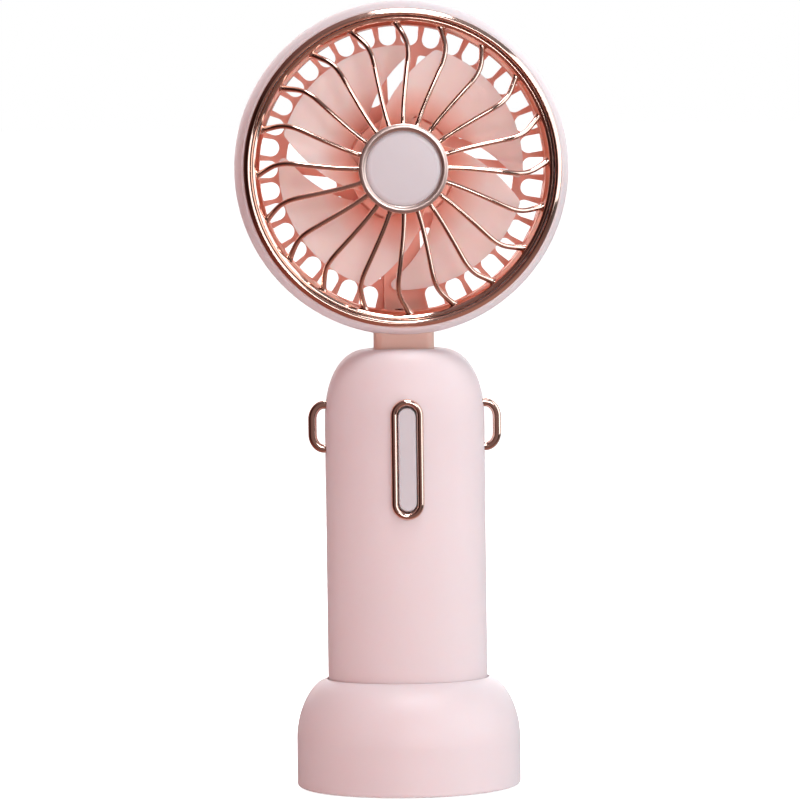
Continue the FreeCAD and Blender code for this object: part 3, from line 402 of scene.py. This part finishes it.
SLOT_MATERIAL = {
    "shell_pink": SHELL, "cap_pink": CAP, "blade_pink": BLADE, "coral": CORAL_PAINTED_BOUNCE, "rose_gold": GOLD,
    "rose_gold_metal": GOLD, "steel": STEEL, "copper": COPPER, "bronze": BRONZE, "ferrite": FERRITE,
    "black_plastic": BLACK, "board_green": BOARD, "cell_wrap": CELL, "lead_rubber": LEAD,
    "pad_rubber": RUBBER,
}

NODE_MATERIAL = {
    "neck": NECK_PAINTED_SHADE, "head_front_shell": SPLIT_SHELL, "head_rear_shell": SPLIT_SHELL,
    "handle_front_shell": SPLIT_SHELL, "handle_rear_shell": SPLIT_SHELL,
}


def dress_cad_nodes():
    """Every CAD node takes the finished material of its slot, or its own if it has one."""
    for part in frame["record"]["subparts"]:
        node = NODES[part["node"]]
        node.data.materials.clear()
        of_slot = SLOT_MATERIAL[part["material_slot"]]
        node.data.materials.append(NODE_MATERIAL.get(part["node"], of_slot))


# ---------------------------------------------------------------- detailed pieces
MERGE_DISTANCE = 1e-7
SHARP_EDGES = 50.0        # degrees beyond which an edge of a plated piece stays sharp


def new_mesh(name, form):
    """A mesh from a finished form, faces turned outward."""
    mesh = bpy.data.meshes.new(name)
    outward(form).to_mesh(mesh)
    return mesh


def finish_piece(name, mesh, material, body, replaced, sharp=SHARP_EDGES):
    """Links a finished mesh, in the frame's coordinates, in place of the CAD nodes it details."""
    mesh.materials.append(material)
    mesh.shade_smooth()
    mesh.set_sharp_from_angle(angle=math.radians(sharp))
    piece = bpy.data.objects.new(name, mesh)
    bpy.context.scene.collection.objects.link(piece)
    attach(piece, body)
    if replaced:
        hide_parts(*replaced)
    return piece


def outward(form):
    """Faces turned outward, doubled points merged."""
    bmesh.ops.remove_doubles(form, verts=form.verts, dist=MERGE_DISTANCE)
    bmesh.ops.recalc_face_normals(form, faces=form.faces)
    return form


def add_rows(form, rows, wrap_rows, wrap_row):
    """Quads between successive rows of points."""
    made = [[form.verts.new(point) for point in row] for row in rows]
    count = len(made)
    for i in range(count if wrap_rows else count - 1):
        row, following = made[i], made[(i + 1) % count]
        for j in range(len(row) if wrap_row else len(row) - 1):
            k = (j + 1) % len(row)
            form.faces.new((row[j], row[k], following[k], following[j]))
    return made


def softened(corners, radius, steps=6):
    """A closed 2D outline with each corner rounded; a corner may carry its own radius."""
    result = []
    count = len(corners)
    for i, corner in enumerate(corners):
        here = Vector(corner[:2])
        own = corner[2] if len(corner) > 2 else radius
        before = Vector(corners[i - 1][:2]) - here
        after = Vector(corners[(i + 1) % count][:2]) - here
        half = before.angle(after) / 2
        reach = min(own / math.tan(half), before.length * 0.48, after.length * 0.48)
        size = reach * math.tan(half)
        if size < 1e-4:
            result.append(here)
            continue
        first = here + before.normalized() * reach
        last = here + after.normalized() * reach
        centre = here + (before.normalized() + after.normalized()).normalized() * (size / math.sin(half))
        start, end = first - centre, last - centre
        for step in range(steps + 1):
            t = step / steps
            arm = (start * (1 - t) + end * t).normalized() * size
            result.append(centre + arm)
    return result


def lathe(form, profile, steps=240):
    """A ring about the head's axis from a closed (radius, y) outline in millimetres."""
    rows = []
    for k in range(steps):
        angle = TAU * k / steps
        rows.append([HEAD + Vector((r * math.sin(angle), y, r * math.cos(angle))) * MM for r, y in profile])
    add_rows(form, rows, True, True)


def smooth_path(points, steps):
    """A curve of even bending through unevenly spaced points (a natural cubic spline along its length)."""
    spans = [(b - a).length for a, b in zip(points, points[1:])]
    last = len(points) - 1
    system = numpy.zeros((last + 1, last + 1))
    target = numpy.zeros((last + 1, 3))
    system[0, :2] = (2, 1)
    target[0] = 3 * (points[1] - points[0]) / spans[0]
    system[last, last - 1:] = (1, 2)
    target[last] = 3 * (points[last] - points[last - 1]) / spans[-1]
    for i in range(1, last):
        before, after = spans[i - 1], spans[i]
        system[i, i - 1:i + 2] = (after, 2 * (before + after), before)
        arriving = (points[i] - points[i - 1]) * (after / before)
        leaving = (points[i + 1] - points[i]) * (before / after)
        target[i] = 3 * (arriving + leaving)
    tangents = [Vector(row) for row in numpy.linalg.solve(system, target)]
    path = []
    for i, span in enumerate(spans):
        for step in range(steps):
            t = step / steps
            path.append(points[i] * (2 * t ** 3 - 3 * t ** 2 + 1)
                        + tangents[i] * span * (t ** 3 - 2 * t ** 2 + t)
                        + points[i + 1] * (3 * t ** 2 - 2 * t ** 3)
                        + tangents[i + 1] * span * (t ** 3 - t ** 2))
    path.append(points[-1])
    return path


def tube(form, path, radii, sides=16):
    """A closed round bar along a path, with its own radius at each point."""
    rows = []
    side = None
    for i, point in enumerate(path):
        along = (path[min(i + 1, len(path) - 1)] - path[max(i - 1, 0)]).normalized()
        if side is None:
            side = along.cross(Vector((0, 1, 0))).normalized()
        side = (side - along * side.dot(along)).normalized()
        other = along.cross(side)
        turns = [TAU * k / sides for k in range(sides)]
        rows.append([point + (side * math.cos(turn) + other * math.sin(turn)) * radii[i] for turn in turns])
    made = add_rows(form, rows, False, True)
    form.faces.new(list(reversed(made[0])))
    form.faces.new(made[-1])


def band(form, path, outward_of, section, closed=True):
    """A solid band along a path in the XZ plane; section holds (outward, y) offsets in millimetres."""
    rows = []
    for point, away in zip(path, outward_of):
        rows.append([point + (away * u + Vector((0, 1, 0)) * v) * MM for u, v in section])
    made = add_rows(form, rows, closed, True)
    if not closed:
        form.faces.new(list(reversed(made[0])))
        form.faces.new(made[-1])


def arch(half_width, front, back, crown=1.0, steps=14):
    """A section with a domed front face and a flat back."""
    points = []
    for step in range(steps + 1):
        t = -1 + 2 * step / steps
        fall = 1 - math.sqrt(max(0.0, 1 - t * t))
        points.append((half_width * t, front + (back - front) * crown * fall))
    return [(half_width, back)] + list(reversed(points)) + [(-half_width, back)]


RIB_LINE = (              # radius, clockwise lead in degrees, y, radius of the bar
    (11.3, 0.0, -13.2, 0.90),
    (12.6, 0.1, -13.25, 0.76),
    (16.2, 0.6, -13.2, 0.70),
    (21.6, 1.8, -13.0, 0.70),
    (27.0, 2.8, -12.6, 0.70),
    (31.1, 3.1, -11.8, 0.70),
    (34.2, 2.0, -10.5, 0.70),
    (37.0, -0.4, -8.9, 0.76),
    (38.4, -1.6, -8.0, 0.90),
    (39.3, -2.5, -7.6, 1.20),
)
RIB_COUNT = 20
STEPS_PER_SPAN = 9        # points of a rib's path between two rows of RIB_LINE

# Closed outlines about the head's axis in millimetres: radius, y, corner radius.
FUNNEL_OUTLINE = (
    (40.6, -9.5, 0.12), (40.6, -5.5, 0.1), (42.4, -5.5, 0.1), (42.4, -4.9, 0.2), (38.0, -4.9, 0.5),
    (38.35, -7.4, 1.5), (39.35, -9.2, 0.8), (40.1, -9.8, 0.5),
)
HUB_OUTLINE = (
    (0.0, -12.4, 0.0), (0.0, -11.8, 0.0), (11.6, -11.8, 0.3), (12.0, -12.3, 0.3), (12.0, -14.45, 0.45),
    (11.0, -14.62, 1.0), (10.12, -14.4, 0.35), (10.12, -12.4, 0.05),
)
BEZEL_OUTLINE = (
    (42.58, -7.2, 0.1), (42.58, -10.2, 0.2), (41.5, -10.98, 0.35), (40.87, -10.55, 0.3), (40.87, -7.2, 0.1),
)
PLAIN_CORNER = 0.2


def rib(form, turn):
    """One S-shaped rib, turned clockwise about the head's axis by an angle in degrees."""
    points = []
    for r, lead, y, _ in RIB_LINE:
        angle = math.radians(lead + turn)
        points.append(HEAD + Vector((r * math.sin(angle), y, r * math.cos(angle))) * MM)
    path = smooth_path(points, STEPS_PER_SPAN)
    radii = []
    for i in range(len(path)):
        span = min(i // STEPS_PER_SPAN, len(RIB_LINE) - 2)
        t = (i - span * STEPS_PER_SPAN) / STEPS_PER_SPAN
        radii.append((RIB_LINE[span][3] * (1 - t) + RIB_LINE[span + 1][3] * t) * MM)
    tube(form, path, radii)


def plated_grille():
    """The plated front grille: the funnel ring, and S-shaped ribs that flare at both ends."""
    form = bmesh.new()
    lathe(form, softened(FUNNEL_OUTLINE, PLAIN_CORNER))
    for k in range(RIB_COUNT):
        rib(form, 360.0 / RIB_COUNT * k)
    mesh = new_mesh("grille_plated", form)
    finish_piece("front_grille_plated", mesh, GOLD, "fan", ["front_grille"])


def plated_hub_ring():
    """The satin plated ring round the hub cap, where the ribs meet."""
    form = bmesh.new()
    lathe(form, softened(HUB_OUTLINE, PLAIN_CORNER), 160)
    mesh = new_mesh("hub_ring_plated", form)
    finish_piece("hub_ring_plated", mesh, SATIN_GOLD, "fan", [])


def plated_bezel():
    """The plated band round the front of the head: a sloping outer facet and a rounded inner lip."""
    form = bmesh.new()
    lathe(form, softened(BEZEL_OUTLINE, PLAIN_CORNER), 320)
    mesh = new_mesh("bezel_plated", form)
    finish_piece("bezel_ring_plated", mesh, GOLD, "fan", ["bezel_ring"])


def stadium(half_width, half_height, centre, steps=28):
    """Points round an upright pill in the XZ plane, with their outward directions."""
    path, away = [], []
    straight = half_height - half_width
    for sign in (1, -1):
        for step in range(steps + 1):
            angle = math.pi * step / steps
            direction = Vector((math.cos(angle), 0, math.sin(angle))) * sign
            path.append(centre + Vector((0, 0, straight * sign)) + direction * half_width)
            away.append(direction)
    return path, away


TRIM_BAND = 1.9           # width of the oval band round the button
TRIM_RISE = 1.0           # depth of its domed front


def button_trim():
    """The plated oval round the button: a band with a domed front."""
    low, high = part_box("button_bezel")
    middle = (Vector(low) + Vector(high)) / 2
    width, height = high[0] - low[0], high[2] - low[2]
    band_width = TRIM_BAND * MM
    centre = Vector((middle.x, 0, middle.z))
    path, away = stadium(width / 2 - band_width / 2, height / 2 - band_width / 2, centre)
    front, back = low[1] / MM, high[1] / MM
    form = bmesh.new()
    half = TRIM_BAND / 2
    dome = arch(half, front, front + TRIM_RISE)[1:-1]
    band(form, path, away, dome + [(-half, back), (half, back)])
    mesh = new_mesh("trim_plated", form)
    finish_piece("button_bezel_plated", mesh, GOLD, "fan", ["button_bezel"])


RING_HALF_HEIGHT = 7.1
RING_HALF_BAND = 1.15
RING_HALF_THICK = 0.9
RING_ARM_X = 21.8         # where the straight arms end and the bow starts
RING_RISE = 3.9           # height over which the bow's middle line turns upright
RING_PIN_R = 0.8
RING_SECTION_POWER = 2.6  # 2 would be an ellipse


def lanyard_ring(side):
    """A plated D-ring: an oval band on an upright pin inside the handle's side."""
    node = "lanyard_ring_right" if side > 0 else "lanyard_ring_left"
    low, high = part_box(node)
    joint = JOINTS["ring_right_swing" if side > 0 else "ring_left_swing"]["pos_m"]
    pin_x, middle_z = abs(joint[0]), joint[2]
    half_band, half_thick = RING_HALF_BAND * MM, RING_HALF_THICK * MM
    out_x = max(abs(low.x), abs(high.x)) - half_band
    arm_x = RING_ARM_X * MM
    half_height = RING_HALF_HEIGHT * MM - half_band
    rise = RING_RISE * MM
    flat = half_height - rise
    path, away = [], []
    for k in range(5):
        path.append((pin_x + (arm_x - pin_x) * k / 5, half_height))
        away.append((0.0, 1.0))
    steps = 18
    for k in range(steps + 1):
        angle = math.pi / 2 * (1 - k / steps)
        path.append((arm_x + (out_x - arm_x) * math.cos(angle), flat + rise * math.sin(angle)))
        away.append(Vector((math.cos(angle) * rise, math.sin(angle) * (out_x - arm_x))).normalized())
    path += [(x, -z) for x, z in reversed(path)]
    away += [(x, -z) for x, z in reversed(away)]
    points = [Vector((side * x, 0, middle_z + z)) for x, z in path]
    directions = [Vector((side * x, 0, z)) for x, z in away]
    section = []
    for k in range(24):
        angle = TAU * k / 24
        u, v = math.cos(angle), math.sin(angle)
        full = (abs(u) ** RING_SECTION_POWER + abs(v) ** RING_SECTION_POWER) ** (-1 / RING_SECTION_POWER)
        section.append((half_band / MM * u * full, half_thick / MM * v * full))
    form = bmesh.new()
    band(form, points, directions, section, False)
    pin = [Vector((side * pin_x, 0, z)) for z in (low.z, middle_z, high.z)]
    tube(form, pin, [RING_PIN_R * MM] * 3, 20)
    mesh = new_mesh(node + "_plated", form)
    body = "ring_right" if side > 0 else "ring_left"
    finish_piece(node + "_plated", mesh, GOLD, body, [node])


LID_OUTLINE = (           # y, distance below the head's axis
    (14.6, 13.95), (15.5, 13.95), (15.5, 17.2), (13.5, 34.2),
    (12.15, 39.1), (11.4, 39.1), (12.6, 34.0), (14.6, 17.0),
)
LID_HALF_WIDTH = 4.6
LID_EDGE = 0.3


def duct_lid():
    """A thin lid over the lead duct on the back of the rear grille, with softened edges."""
    half = LID_HALF_WIDTH * MM
    form = bmesh.new()
    rows = [[HEAD + Vector((x, y * MM, -r * MM)) for y, r in LID_OUTLINE] for x in (-half, half)]
    made = add_rows(form, rows, False, True)
    form.faces.new(list(reversed(made[0])))
    form.faces.new(made[-1])
    # the lid takes the grille's plastic, with its painted bounce light
    lid = finish_piece("duct_lid", new_mesh("duct_lid", form), CORAL_PAINTED_BOUNCE, "fan", [], 30.0)
    soften = lid.modifiers.new("soft_edges", "BEVEL")
    soften.width = LID_EDGE * MM
    soften.segments = 3
    soften.harden_normals = True


bpy.context.scene.view_settings.view_transform = "Standard"
add_camera()
add_lights()
add_studio()
add_floor()
dress_cad_nodes()
plated_grille()
plated_hub_ring()
plated_bezel()
button_trim()
duct_lid()
for ring_side in (-1, 1):
    lanyard_ring(ring_side)
